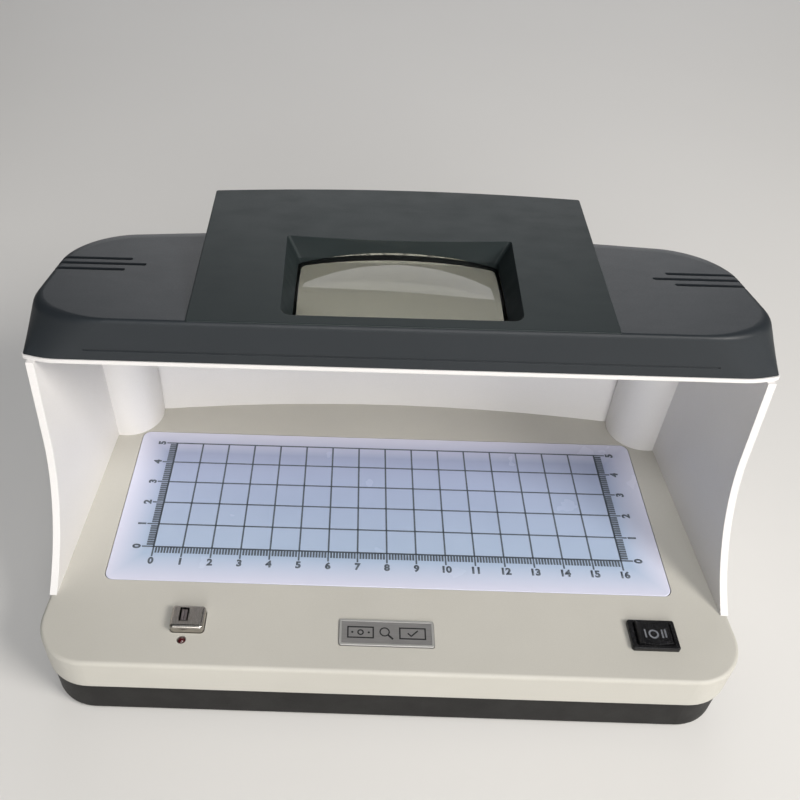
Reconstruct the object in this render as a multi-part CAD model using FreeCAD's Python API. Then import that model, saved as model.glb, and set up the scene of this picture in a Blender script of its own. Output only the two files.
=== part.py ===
import FreeCAD, Part
import math
import os

# Desktop banknote checker, millimetres. Front faces -Y, +X is the user's right, +Z is up.
# The origin is on the table, under the middle of the case.

# Heights of the stack: feet, tray, deck skirt, bay, roof.
FOOT_H = 1.5
TRAY_H = 15.0
LIP_H = 13.0
DECK_Z = FOOT_H + TRAY_H + LIP_H
TRAY_TOP = FOOT_H + TRAY_H
ROOF_EDGE_Z = 105.0
ROOF_BAND_H = 14.5

# The plan outline: straight front, sides that draw in to the back, bowed back.
FRONT_Y = -63.7
SIDE_X = 107.9
SIDE_TAPER = 0.056
BACK_Y = 59.4
BACK_BOW_R = 640.0
BACK_BOW_TURN = math.radians(7.0)
FRONT_CORNER_R = 16.5
REAR_CORNER_R = 17.0

# Wall thicknesses.
WALL = 2.4
PLATE = 2.5
FLOOR = 2.2
ROOF_WALL = 2.2

# Hood: the walls lean out by HOOD_LEAN over their height, and the top follows the roof's slope.
HOOD_LEAN = 1.5
RIM_T = 1.4
RIM_OVERHANG = 0.4
ROOF_FRONT_Y = -9.7
ROOF_SIDE_X = 110.8
ROOF_BACK_Y = 63.9
ROOF_SLOPE = 0.13
ROOF_FOLD_R = 1.2
ROOF_SIDE_R = 2.2
ROOF_BACK_R = 12.0
ROOF_REAR_R = 20.0
TUBE_SLOT_Y = (-9.0, 9.0)
VENT_FLOOR = 8.0
VENTS = [(29.6, 84.5), (26.0, 79.5), (22.2, 85.4)]
PILLAR_X = 101.0
PILLAR_Y = 48.0
PILLAR_R = 12.9

# Light panel in the deck.
PANEL_HALF_X = 94.0
PANEL_HALF_Y = 35.0
PANEL_Y = 2.7
PANEL_T = 2.7
PANEL_R = 3.0

# The front corners of the roof, pointed below and full above: where the front leaves its line
# and where it meets the side, with the radius of each turn. Lower edge first, then upper.
SHOULDER_IN = (7.8, 15.0)
SHOULDER_R = (25.0, 28.0)
TIP_BACK = (2.3, 11.0)
TIP_R = (1.2, 15.0)

# Magnifier: a slab that meets the roof's front fold and rises gently to the back.
SLAB_HALF_X = 61.5
SLAB_FRONT_Y = -8.7
SLAB_BACK_Y = 64.6
SLAB_FRONT_Z = 119.5
SLAB_SLOPE = 0.035
SLAB_TURN = math.radians(5.0)

# The lens lies in a funnel. A white duct on the hood's ceiling carries the view up to it.
LENS_Y = 15.25
LENS_HALF_X = 32.7
LENS_HALF_Y = 19.1
LENS_R = 110.0
LENS_APEX_Z = 118.0
LENS_EDGE_T = 1.0
WELL_HALF_X = 32.0
WELL_HALF_Y = 18.7
WELL_TOP_Z = 113.9
MOUTH_HALF_X = 35.0
MOUTH_FRONT_Y = -5.1
MOUTH_BACK_Y = 35.5
MOUTH_BOW = 3.0
BLOCK_HALF_X = 40.5
BLOCK_HALF_Y = 22.4
THROAT_HALF_X = 38.2
THROAT_HALF_Y = 20.5
RETAINER_T = 1.5
CUP_WALL = 1.1
SHADE_Y = (35.85, 36.85)
SHADE_HALF_X = 76.0
SHADE_FOOT_Z = 84.0

# Controls on the deck.
ROCKER_X = 83.65
ROCKER_Y = -47.85
PIVOT_Z = DECK_Z + 0.2
ROCKER_R = 5.7
HEAD_X = -63.45
HEAD_Y = -47.5
LED_X = -64.7
LED_Y = -54.2
BADGE_X = -0.5
BADGE_Y = -49.75

# Ultraviolet tube, a T5 of 136 mm.
TUBE_Y = 46.0
TUBE_Z = 92.5
TUBE_R = 7.75
TUBE_HALF = 68.0
CAP_L = 11.0

# Mains inlet in the back of the tray.
INLET_Z = 9.2
INLET_Y = BACK_Y - 0.8

# Fixings.
SCREW_R = 1.5
PILOT_R = 1.55
FEET_XY = [(x, y) for x in (-86.0, 86.0) for y in (-44.0, 34.0)]
REAR_SCREWS = [(-96.0, 42.5), (96.0, 42.5)]
FRONT_SCREWS = [(-97.0, -50.0), (97.0, -50.0)]
ROOF_SCREWS = [(-98.0, 4.0), (98.0, 4.0), (-84.0, 37.5), (84.0, 37.5)]
BOARD_SCREWS = [(x, y) for x in (-46.0, 46.0) for y in (-18.0, 24.0)]
RETAINER_SCREWS = [(x, LENS_Y + y) for x in (-35.7, 35.7) for y in (-14.0, 14.0)]
BOSS_TOP = 25.0
LEAD_X = -91.5
LEAD_Y = 46.5

# Clearance round loose parts, and a length well beyond the whole case.
CLEAR = 0.2
REACH = 140.0


def vec(x, y, z=0.0):
    return FreeCAD.Vector(x, y, z)


def rounded_outline(corners, radii):
    """Closed flat wire through the corners, each one turned by a tangent arc of its own radius."""
    arcs = []
    count = len(corners)
    for i, radius in enumerate(radii):
        corner = corners[i]
        back = (corners[i - 1] - corner).normalize()
        ahead = (corners[(i + 1) % count] - corner).normalize()
        half = back.getAngle(ahead) / 2
        reach = radius / math.tan(half)
        middle = (back + ahead).normalize() * (radius / math.sin(half) - radius)
        arcs.append((corner + back * reach, corner + middle, corner + ahead * reach))
    edges = []
    for i, (start, middle, end) in enumerate(arcs):
        edges.append(Part.LineSegment(arcs[i - 1][2], start).toShape())
        edges.append(Part.Arc(start, middle, end).toShape())
    return Part.Wire(edges)


def mirrored(points):
    """The points, then their mirror images in the opposite order."""
    return points + [vec(-p.x, p.y, p.z) for p in reversed(points)]


def side_point(side_x, y, z):
    """On the right side line, which passes side_x where y is 0."""
    return vec(side_x - SIDE_TAPER * y, y, z)


def rear_point(side_x, back_y, z):
    """The right rear corner, before rounding, and the apex of the bowed back."""
    apex = back_y + BACK_BOW_R / math.cos(BACK_BOW_TURN) - BACK_BOW_R
    lean = math.tan(BACK_BOW_TURN)
    rear_y = (apex - lean * side_x) / (1 - lean * SIDE_TAPER)
    return side_point(side_x, rear_y, z), vec(0, apex, z)


def case_outline(z, inset=0.0, lean=0.0):
    """Outline of tray, deck and hood, drawn in by inset and let out by lean."""
    side_x = SIDE_X + lean - inset
    rear, apex = rear_point(side_x, BACK_Y + lean - inset, z)
    corners = mirrored([apex, rear, side_point(side_x, FRONT_Y + inset, z)])[:-1]
    rear_r = REAR_CORNER_R - inset
    front_r = FRONT_CORNER_R - inset
    return rounded_outline(corners, [BACK_BOW_R, rear_r, front_r, front_r, rear_r])


def prism(outline, height):
    return Part.Face(outline).extrude(vec(0, 0, height))


def box(x0, x1, y0, y1, z0, z1):
    return Part.makeBox(x1 - x0, y1 - y0, z1 - z0, vec(x0, y0, z0))


def centred_box(x, y, half_x, half_y, z0, z1):
    return box(x - half_x, x + half_x, y - half_y, y + half_y, z0, z1)


def rounded_rect(x, y, half_x, half_y, radius, z):
    corners = [vec(x - half_x, y - half_y, z), vec(x + half_x, y - half_y, z),
               vec(x + half_x, y + half_y, z), vec(x - half_x, y + half_y, z)]
    return rounded_outline(corners, [radius] * 4)


def rounded_box(x, y, half_x, half_y, radius, z0, z1):
    return prism(rounded_rect(x, y, half_x, half_y, radius, z0), z1 - z0)


def post(x, y, radius, z0, z1):
    return Part.makeCylinder(radius, z1 - z0, vec(x, y, z0))


def rod(radius, start, end):
    return Part.makeCylinder(radius, (end - start).Length, start, end - start)


def fuse(shapes):
    return shapes[0].multiFuse(shapes[1:]).removeSplitter()


def cut(shape, tools):
    return shape.cut(tools).removeSplitter()


def soften(shape, radius, picks):
    """Round the edges that picks accepts; picks gets each edge's bounding box."""
    edges = [edge for edge in shape.Edges if picks(edge.BoundBox)]
    return shape.makeFillet(radius, edges)


def parting_z(y):
    """Height of the roof's lower edge, which falls towards the back."""
    return ROOF_EDGE_Z - ROOF_SLOPE * (y - ROOF_FRONT_Y)


def sloped_plate(top_z, slope, thickness):
    """A wide plate whose top passes top_z at the roof's front and rises by slope to the back."""
    near = vec(-REACH, -REACH, top_z - slope * (REACH + ROOF_FRONT_Y))
    far = vec(-REACH, REACH, top_z + slope * (REACH - ROOF_FRONT_Y))
    down = vec(0, 0, -thickness)
    face = Part.Face(Part.makePolygon([near, far, far + down, near + down, near]))
    return face.extrude(vec(2 * REACH, 0, 0))


def roof_plate(rise, thickness):
    """A wide plate, parallel to the roof's lower edge, whose top is rise above it."""
    return sloped_plate(ROOF_EDGE_Z + rise, -ROOF_SLOPE, thickness)


# --- base -------------------------------------------------------------------------------------

def make_base_tray():
    outer = prism(case_outline(FOOT_H, 0.8), TRAY_H)
    outer = soften(outer, 1.4, lambda b: b.ZMax < FOOT_H + 0.01)
    tray = outer.cut(prism(case_outline(FOOT_H + FLOOR, 0.8 + WALL), TRAY_H))
    tongue = prism(case_outline(TRAY_TOP - 4, 0.8 + WALL), 5.6)
    tongue = tongue.cut(prism(case_outline(TRAY_TOP - 4, 2.2 + WALL), 5.6))
    bosses = [post(x, y, 4.0, FOOT_H, BOSS_TOP) for x, y in REAR_SCREWS + FRONT_SCREWS]
    board_posts = [post(x, y, 2.6, FOOT_H + 1, 5.7) for x, y in BOARD_SCREWS]
    tray = fuse([tray, tongue] + bosses + board_posts)
    holes = [post(x, y, PILOT_R, 0, DECK_Z) for x, y in REAR_SCREWS + FRONT_SCREWS]
    holes += [post(x, y, 3.3, 0, 5.0) for x, y in REAR_SCREWS + FRONT_SCREWS]
    holes += [post(x, y, 5.2, 0, FOOT_H + 0.8) for x, y in FEET_XY]
    holes += [post(x, y, 1.0, 3.9, 6) for x, y in BOARD_SCREWS]
    holes += [rounded_box(x, 44.0, 1.1, 6.0, 1.0, 0, 5) for x in range(-70, -34, 7)]
    holes += [rounded_box(x, 44.0, 1.1, 6.0, 1.0, 0, 5) for x in range(36, 72, 7)]
    holes.append(centred_box(0, INLET_Y, 9.3, 6.0, INLET_Z - 5.3, INLET_Z + 5.3))
    return cut(tray, holes)


def make_rubber_feet():
    feet = []
    for x, y in FEET_XY:
        foot = post(x, y, 5.0, 0, FOOT_H + 0.8)
        feet.append(soften(foot, 0.6, lambda b: b.ZMax < 0.01))
    return Part.makeCompound(feet)


def case_screw(x, y, top_z):
    head = post(x, y, 3.0, 2.6, 5.0)
    shank = post(x, y, SCREW_R, 4.9, top_z)
    slot = centred_box(x, y, 1.7, 0.4, 2.6, 3.6)
    cross = centred_box(x, y, 0.4, 1.7, 2.6, 3.6)
    return cut(fuse([head, shank]), [slot, cross])


def make_case_screws():
    rear = [case_screw(x, y, 44.0) for x, y in REAR_SCREWS]
    front = [case_screw(x, y, DECK_Z - 0.9) for x, y in FRONT_SCREWS]
    return Part.makeCompound(rear + front)


# --- deck -------------------------------------------------------------------------------------

def make_deck_cover():
    outer = prism(case_outline(TRAY_TOP), LIP_H)
    outer = soften(outer, 1.3, lambda b: b.ZMin > DECK_Z - 0.01)
    deck = outer.cut(prism(case_outline(TRAY_TOP - 1, WALL + 0.1), LIP_H - PLATE + 1))
    ledge_z = DECK_Z - PANEL_T - 1.5
    ledge = rounded_box(0, PANEL_Y, PANEL_HALF_X + 2.2, PANEL_HALF_Y + 2.2, 4.0, ledge_z, DECK_Z - 1)
    head_guide = rounded_box(HEAD_X, HEAD_Y, 6.8, 5.0, 1.5, DECK_Z - 6, DECK_Z - 1)
    deck = fuse([deck, ledge, head_guide])
    holes = [rounded_box(0, PANEL_Y, PANEL_HALF_X + 0.15, PANEL_HALF_Y + 0.15, PANEL_R,
                         DECK_Z - PANEL_T, DECK_Z + 1),
             rounded_box(0, PANEL_Y, PANEL_HALF_X - 3, PANEL_HALF_Y - 3, 2.0, ledge_z - 1, DECK_Z),
             centred_box(ROCKER_X, ROCKER_Y, 6.7, 4.85, TRAY_TOP, DECK_Z + 1),
             rounded_box(HEAD_X, HEAD_Y, 5.5, 4.35, 1.3, TRAY_TOP, DECK_Z + 1),
             post(LED_X, LED_Y, 1.45, TRAY_TOP, DECK_Z + 1),
             rounded_box(BADGE_X, BADGE_Y, 15.1, 4.85, 0.8, DECK_Z - 0.6, DECK_Z + 1)]
    holes += [post(x, y, PILOT_R, TRAY_TOP, DECK_Z + 1) for x, y in REAR_SCREWS]
    holes += [post(x, y, PILOT_R, TRAY_TOP, DECK_Z - 0.8) for x, y in FRONT_SCREWS]
    holes.append(post(LEAD_X, LEAD_Y, 1.8, TRAY_TOP, DECK_Z + 1))
    return cut(deck, holes)


def make_light_panel():
    panel = rounded_box(0, PANEL_Y, PANEL_HALF_X, PANEL_HALF_Y, PANEL_R, DECK_Z - PANEL_T, DECK_Z)
    return soften(panel, 0.3, lambda b: b.ZMin > DECK_Z - 0.01)


def make_light_box():
    top_z = DECK_Z - PANEL_T - 1.5
    outer = rounded_box(0, PANEL_Y, PANEL_HALF_X - 1, PANEL_HALF_Y - 1, 2.5, 12.0, top_z)
    inner = rounded_box(0, PANEL_Y, PANEL_HALF_X - 2.4, PANEL_HALF_Y - 2.4, 1.5, 13.2, top_z + 1)
    return cut(outer, [inner])


def make_led_strips():
    rows = (PANEL_Y - 20, PANEL_Y, PANEL_Y + 20)
    return Part.makeCompound([centred_box(0, y, 86, 4, 13.2, 14.2) for y in rows])


def make_white_leds():
    leds = []
    for y in (PANEL_Y - 20, PANEL_Y, PANEL_Y + 20):
        for step in range(12):
            leds.append(centred_box(-77 + 14 * step, y, 1.75, 1.4, 14.2, 15.1))
    return Part.makeCompound(leds)


def make_badge():
    plate = rounded_box(BADGE_X, BADGE_Y, 15.0, 4.75, 0.8, DECK_Z - 0.6, DECK_Z + 0.5)
    plate = soften(plate, 0.25, lambda b: b.ZMin > DECK_Z + 0.49)
    return cut(plate, [centred_box(BADGE_X, BADGE_Y, 14.2, 3.95, DECK_Z + 0.35, DECK_Z + 1)])


# --- magnetic head ----------------------------------------------------------------------------

def make_head_case():
    shell = rounded_box(HEAD_X, HEAD_Y, 5.35, 4.2, 1.2, DECK_Z - 7, DECK_Z + 3)
    shell = soften(shell, 1.1, lambda b: b.ZMin > DECK_Z + 2.9)
    hollow = centred_box(HEAD_X, HEAD_Y, 4.7, 3.5, DECK_Z - 8, DECK_Z + 1.8)
    window = centred_box(HEAD_X - 1.2, HEAD_Y + 0.6, 1.5, 2.5, DECK_Z, DECK_Z + 4)
    return cut(shell, [hollow, window])


def make_head_core():
    """Two halves of the ferrite core, with the reading gap between them."""
    halves = []
    for side in (-1, 1):
        x = HEAD_X - 1.2 + side * 0.47
        halves.append(centred_box(x, HEAD_Y + 0.6, 0.41, 1.95, DECK_Z - 5, DECK_Z + 2.7))
    return Part.makeCompound(halves)


def make_head_bracket():
    plate = centred_box(HEAD_X, HEAD_Y, 12.0, 5.0, DECK_Z - 8.2, DECK_Z - 7.2)
    slot = centred_box(HEAD_X, HEAD_Y, 3.6, 3.0, DECK_Z - 9, DECK_Z - 6)
    ears = [box(HEAD_X + a, HEAD_X + a + 1, HEAD_Y - 5, HEAD_Y + 5, DECK_Z - 7.2, DECK_Z - 2.6)
            for a in (-12.0, 11.0)]
    return cut(fuse([plate] + ears), [slot])


def make_head_board():
    board = box(HEAD_X - 14, HEAD_X + 14, -58.0, -39.0, 15.0, 16.6)
    chips = [centred_box(HEAD_X + 6, -46, 3.0, 2.0, 16.6, 18.2),
             centred_box(HEAD_X - 7, -44, 1.6, 0.9, 16.6, 17.5),
             centred_box(HEAD_X - 7, -50, 1.6, 0.9, 16.6, 17.5)]
    return fuse([board] + chips)


def make_head_led():
    collar = post(LED_X, LED_Y, 1.5, 24.0, 25.2)
    barrel = post(LED_X, LED_Y, 1.3, 25.0, DECK_Z - 0.9)
    dome = Part.makeSphere(1.3, vec(LED_X, LED_Y, DECK_Z - 0.9))
    legs = [post(LED_X + side * 0.7, LED_Y, 0.25, 16.6, 24.2) for side in (-1, 1)]
    return fuse([collar, barrel, dome] + legs)


# --- rocker switch ----------------------------------------------------------------------------

def make_rocker_housing():
    bezel = rounded_box(ROCKER_X, ROCKER_Y, 7.45, 5.25, 0.8, DECK_Z, DECK_Z + 1.6)
    bezel = soften(bezel, 0.5, lambda b: b.ZMin > DECK_Z + 1.59)
    body = centred_box(ROCKER_X, ROCKER_Y, 6.55, 4.75, DECK_Z - 13, DECK_Z)
    cavity = centred_box(ROCKER_X, ROCKER_Y, 5.95, 4.0, DECK_Z - 10, DECK_Z + 3)
    pivot = rod(1.05, vec(ROCKER_X, ROCKER_Y - 4.6, PIVOT_Z), vec(ROCKER_X, ROCKER_Y + 4.6, PIVOT_Z))
    return cut(fuse([bezel, body]), [cavity, pivot])


def make_rocker_button():
    """A drum segment about the pivot, with a shallow valley on top and a nib below."""
    def at(angle, radius=ROCKER_R):
        turn = math.radians(angle)
        return vec(ROCKER_X + radius * math.cos(turn), 0, PIVOT_Z + radius * math.sin(turn))

    valley = vec(ROCKER_X, 0, PIVOT_Z + 1.3)
    nib = [vec(ROCKER_X + 1.4, 0, PIVOT_Z - 3.0), vec(ROCKER_X + 1.0, 0, PIVOT_Z - 6.0),
           vec(ROCKER_X - 1.0, 0, PIVOT_Z - 6.0), vec(ROCKER_X - 1.4, 0, PIVOT_Z - 3.0)]
    edges = [Part.Arc(at(154), valley, at(26)).toShape(),
             Part.Arc(at(26), at(0), at(-30)).toShape(),
             Part.LineSegment(at(-30), nib[0]).toShape(),
             Part.LineSegment(nib[0], nib[1]).toShape(),
             Part.LineSegment(nib[1], nib[2]).toShape(),
             Part.LineSegment(nib[2], nib[3]).toShape(),
             Part.LineSegment(nib[3], at(210)).toShape(),
             Part.Arc(at(210), at(180), at(154)).toShape()]
    half_y = 3.75
    body = Part.Face(Part.Wire(edges)).extrude(vec(0, 2 * half_y, 0))
    body.translate(vec(0, ROCKER_Y - half_y, 0))
    stub = rod(1.0, vec(ROCKER_X, ROCKER_Y - 4.5, PIVOT_Z), vec(ROCKER_X, ROCKER_Y + 4.5, PIVOT_Z))
    return fuse([body, stub])


def make_rocker_terminals():
    bottom = DECK_Z - 13
    return Part.makeCompound([centred_box(ROCKER_X + x, ROCKER_Y, 0.4, 1.5, bottom - 6.5, bottom)
                              for x in (-4.2, 0.0, 4.2)])


# --- hood and roof ----------------------------------------------------------------------------

def hood_loft(inset):
    low = case_outline(DECK_Z, inset)
    high = case_outline(ROOF_EDGE_Z + 12, inset, HOOD_LEAN)
    return Part.makeLoft([low, high], True, True)


def scoop_cut():
    """What is cut away in front of the side walls: the hollow front edge seen from the side."""
    foot = vec(-REACH, -39.3, DECK_Z)
    turn = vec(-REACH, -21.0, DECK_Z + 23)
    knee = vec(-REACH, -13.4, DECK_Z + 49)
    top = vec(-REACH, -9.9, ROOF_EDGE_Z + 0.5)
    lip = vec(-REACH, -9.9, ROOF_EDGE_Z + 30)
    far = [vec(-REACH, -90, ROOF_EDGE_Z + 30), vec(-REACH, -90, DECK_Z - 5),
           vec(-REACH, -39.3, DECK_Z - 5)]
    edges = [Part.Arc(foot, turn, knee).toShape(),
             Part.LineSegment(knee, top).toShape(),
             Part.LineSegment(top, lip).toShape(),
             Part.LineSegment(lip, far[0]).toShape(),
             Part.LineSegment(far[0], far[1]).toShape(),
             Part.LineSegment(far[1], far[2]).toShape(),
             Part.LineSegment(far[2], foot).toShape()]
    return Part.Face(Part.Wire(edges)).extrude(vec(2 * REACH, 0, 0))


def view_duct():
    """The collar round the throat, from the ceiling up to the lens's retainer."""
    outer = rounded_box(0, LENS_Y, BLOCK_HALF_X - CLEAR, BLOCK_HALF_Y - CLEAR, 1.5, 90, lens_seat_z() - 0.1)
    return outer.cut(roof_plate(-RIM_T, 100))


def tube_shade():
    """A blade behind the throat that keeps the tube out of the user's view through the lens."""
    blade = box(-SHADE_HALF_X, SHADE_HALF_X, SHADE_Y[0], SHADE_Y[1], SHADE_FOOT_Z, ROOF_EDGE_Z)
    return blade.common(roof_plate(-RIM_T / 2, 100))


def make_hood_shell():
    walls = hood_loft(0.0).cut(hood_loft(WALL))
    pillars = [post(x, PILLAR_Y, PILLAR_R, DECK_Z, ROOF_EDGE_Z) for x in (-PILLAR_X, PILLAR_X)]
    pillars = fuse([walls, hood_loft(0.0).common(Part.makeCompound(pillars))])
    walls = pillars.common(roof_plate(-RIM_T, 150)).cut(scoop_cut())
    rim = tilted(prism(roof_section(-RIM_T, 0.0, -RIM_OVERHANG), RIM_T))
    hood = fuse([walls, rim, view_duct(), tube_shade()])
    tube_slot = box(-TUBE_HALF - 9, TUBE_HALF + 9, TUBE_Y + TUBE_SLOT_Y[0], TUBE_Y + TUBE_SLOT_Y[1],
                    DECK_Z + 40, ROOF_EDGE_Z)
    holes = [rounded_box(0, LENS_Y, THROAT_HALF_X, THROAT_HALF_Y, 2.0, DECK_Z + 40, ROOF_EDGE_Z + 9),
             tube_slot.common(roof_plate(1, 8))]
    holes += [post(x, y, PILOT_R, DECK_Z - 1, 46.0) for x, y in REAR_SCREWS]
    holes += [post(x, y, PILOT_R, 90.0, ROOF_EDGE_Z) for x, y in ROOF_SCREWS]
    holes.append(post(LEAD_X, LEAD_Y, 1.8, DECK_Z - 1, ROOF_EDGE_Z))
    return cut(hood, holes)


def tilted(solid):
    """Shear a level solid onto the slope of the roof's lower edge."""
    matrix = FreeCAD.Matrix()
    matrix.A32 = -ROOF_SLOPE
    leaning = solid.transformGeometry(matrix)
    leaning.translate(vec(0, 0, parting_z(0)))
    return leaning


def edge_round(radius, below_top):
    """How far an edge of this radius draws in, at a depth below the top face."""
    if below_top >= radius:
        return 0.0
    return radius - math.sqrt(radius ** 2 - (radius - below_top) ** 2)


def between(pair, share):
    return pair[0] + (pair[1] - pair[0]) * share


def roof_section(z, share, inset, front=0.0, side=0.0, back=0.0):
    """The roof's outline at height z. share runs from 0 at the lower edge to 1 at the top, and
    front, side and back draw the outline in there."""
    front_y = ROOF_FRONT_Y + inset + front
    side_x = ROOF_SIDE_X - inset - side
    rear, apex = rear_point(side_x, ROOF_BACK_Y - inset - back, z)
    tip = side_point(side_x, front_y + between(TIP_BACK, share), z)
    shoulder = side_point(side_x, front_y, z) - vec(between(SHOULDER_IN, share), 0)
    corners = mirrored([apex, rear, tip, shoulder])[:-1]
    rear_r = ROOF_REAR_R - inset + 3 * share
    tip_r = max(between(TIP_R, share) - inset, 0.6)
    shoulder_r = between(SHOULDER_R, share)
    return rounded_outline(corners, [BACK_BOW_R, rear_r, tip_r, shoulder_r, shoulder_r, tip_r, rear_r])


def roof_solid(inset):
    """The roof's outer form, or its hollow when inset is the wall's thickness."""
    height = ROOF_BAND_H - inset
    swing = ROOF_BACK_R - inset
    rises = [0.0] + [height - swing * (1 - math.sin(math.radians(a)))
                     for a in (0, 18, 36, 52, 64, 75, 84, 90)]
    sections = []
    for rise in rises:
        share = rise / height
        depth = height - rise
        front = 0.4 * share + edge_round(ROOF_FOLD_R, depth)
        side = 1.6 * share + edge_round(ROOF_SIDE_R, depth)
        back = 0.6 * share + edge_round(swing, depth)
        sections.append(roof_section(rise, share, inset, front, side, back))
    return tilted(Part.makeLoft(sections, True, False))


def make_roof_cover():
    hollow = roof_solid(ROOF_WALL)
    roof = roof_solid(0.0).cut(hollow)
    bosses = [post(x, y, 3.6, 90.0, 119.0) for x, y in ROOF_SCREWS]
    bosses = hollow.common(Part.makeCompound(bosses))
    roof = fuse([roof, bosses])
    holes = [rounded_box(0, LENS_Y, BLOCK_HALF_X + CLEAR, BLOCK_HALF_Y + CLEAR, 1.5, 90, 130)]
    holes += [post(x, y, PILOT_R, 90.0, parting_z(y) + 8) for x, y in ROOF_SCREWS]
    holes.append(box(-92, 92, ROOF_FRONT_Y - 1, ROOF_FRONT_Y + 0.35, 108.3, 108.9))
    for side in (-1, 1):
        for y, inner_x in VENTS:
            slot = rounded_box(side * (inner_x + 20), y, 20.0, 0.85, 0.8, 90, 130)
            holes.append(slot.common(roof_plate(20, 20 - VENT_FLOOR)))
    return cut(roof, holes)


def make_roof_screws():
    """Short screws up through the hood's ceiling into the roof's bosses."""
    screws = []
    for x, y in ROOF_SCREWS:
        top = parting_z(y) - RIM_T - 0.5
        head = post(x, y, 2.8, top - 1.8, top)
        shank = post(x, y, SCREW_R, top - 0.1, parting_z(y) + 7)
        slots = [centred_box(x, y, half_x, half_y, top - 2.0, top - 1.0)
                 for half_x, half_y in ((1.6, 0.35), (0.35, 1.6))]
        screws.append(cut(fuse([head, shank]), slots))
    return Part.makeCompound(screws)


# --- magnifier --------------------------------------------------------------------------------

def lens_seat_z():
    """Height of the lens's flat underside, where the retainer holds it."""
    corner_sag = LENS_R - math.sqrt(LENS_R ** 2 - LENS_HALF_X ** 2 - LENS_HALF_Y ** 2)
    return LENS_APEX_Z - corner_sag - LENS_EDGE_T


def domed_block(grow, z0, lift=0.0):
    """The lens's blank grown sideways, from z0 up to its dome or to lift above it."""
    dome = Part.makeSphere(LENS_R + lift, vec(0, LENS_Y, LENS_APEX_Z - LENS_R))
    blank = rounded_box(0, LENS_Y, LENS_HALF_X + grow, LENS_HALF_Y + grow, 2.0 + grow, z0, LENS_APEX_Z + 1)
    return blank.common(dome)


def make_magnifier_lens():
    """Rectangular, domed above and flat below."""
    return domed_block(0.0, lens_seat_z())


def slab_outline(z, inset=0.0):
    """The slab from above: straight front and sides, and a back bowed like the roof's."""
    half_x = SLAB_HALF_X - inset
    apex = SLAB_BACK_Y - inset + BACK_BOW_R / math.cos(SLAB_TURN) - BACK_BOW_R
    corners = mirrored([vec(0, apex, z), vec(half_x, apex - half_x * math.tan(SLAB_TURN), z),
                        vec(half_x, SLAB_FRONT_Y + inset, z)])[:-1]
    return rounded_outline(corners, [BACK_BOW_R, 0.8, 0.5, 0.5, 0.8])


def funnel_outline(z, half_x, front_y, back_y, bow, front_r):
    """The funnel from above. Its back edge bows forward, and bow is where its tangents meet."""
    corners = mirrored([vec(0, back_y - bow, z), vec(half_x, back_y, z), vec(half_x, front_y, z)])[:-1]
    return rounded_outline(corners, [0.85 * half_x ** 2 / bow, 1.0, front_r, front_r, 1.0])


def lens_funnel():
    well = funnel_outline(WELL_TOP_Z, WELL_HALF_X, LENS_Y - WELL_HALF_Y, LENS_Y + WELL_HALF_Y, 0.2, 1.5)
    mouth = funnel_outline(SLAB_FRONT_Z + 3, MOUTH_HALF_X + 1.3, MOUTH_FRONT_Y - 0.3,
                           MOUTH_BACK_Y + 0.3, MOUTH_BOW, 4.0)
    shaft = rounded_box(0, LENS_Y, WELL_HALF_X, WELL_HALF_Y, 1.5, 100, WELL_TOP_Z)
    return [Part.makeLoft([well, mouth], True, True), shaft]


def make_magnifier_housing():
    top = sloped_plate(SLAB_FRONT_Z, SLAB_SLOPE, 60)
    slab = prism(slab_outline(90), 40).common(top)
    slab = soften(slab, 0.4, lambda b: b.ZMin > SLAB_FRONT_Z - 0.1 and b.YMax > 0)
    below = top.translated(vec(0, 0, -ROOF_WALL))
    inner = prism(slab_outline(89, ROOF_WALL), 40).common(below)
    shell = cut(slab, [inner, roof_solid(0.0), roof_plate(0.1, 100)])
    seat_z = lens_seat_z()
    block = rounded_box(0, LENS_Y, BLOCK_HALF_X, BLOCK_HALF_Y, 1.5, seat_z, 130).common(top)
    housing = fuse([shell, block])
    holes = lens_funnel() + [domed_block(CUP_WALL + 0.1, seat_z - 1, 0.1)]
    holes += [post(x, y, 0.85, seat_z - 1, seat_z + 4.5) for x, y in RETAINER_SCREWS]
    return cut(housing, holes)


def make_lens_retainer():
    """A frame under the lens, with a thin wall round its edge, up to its dome."""
    seat_z = lens_seat_z()
    low_z = seat_z - RETAINER_T
    frame = rounded_box(0, LENS_Y, THROAT_HALF_X - CLEAR, THROAT_HALF_Y - CLEAR, 1.8, low_z, seat_z)
    wall = domed_block(CUP_WALL, low_z)
    pocket = domed_block(0.1, seat_z, 1.0)
    window = rounded_box(0, LENS_Y, LENS_HALF_X - 2, LENS_HALF_Y - 1.8, 2.0, low_z - 1, seat_z + 1)
    holes = [post(x, y, 0.85, low_z - 1, seat_z + 1) for x, y in RETAINER_SCREWS]
    return cut(fuse([frame, wall]), [pocket, window] + holes)


def make_retainer_screws():
    low_z = lens_seat_z() - RETAINER_T
    screws = []
    for x, y in RETAINER_SCREWS:
        head = post(x, y, 1.4, low_z - 0.8, low_z)
        shank = post(x, y, 0.8, low_z - 0.1, low_z + 5.5)
        slot = centred_box(x, y, 1.5, 0.2, low_z - 0.9, low_z - 0.5)
        screws.append(cut(fuse([head, shank]), [slot]))
    return Part.makeCompound(screws)


# --- ultraviolet lamp -------------------------------------------------------------------------

def make_uv_tube():
    reach = TUBE_HALF - CAP_L - 2.5
    outer = rod(TUBE_R, vec(-reach, TUBE_Y, TUBE_Z), vec(reach, TUBE_Y, TUBE_Z))
    bore = rod(TUBE_R - 0.8, vec(-reach - 1, TUBE_Y, TUBE_Z), vec(reach + 1, TUBE_Y, TUBE_Z))
    return outer.cut(bore)


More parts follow.
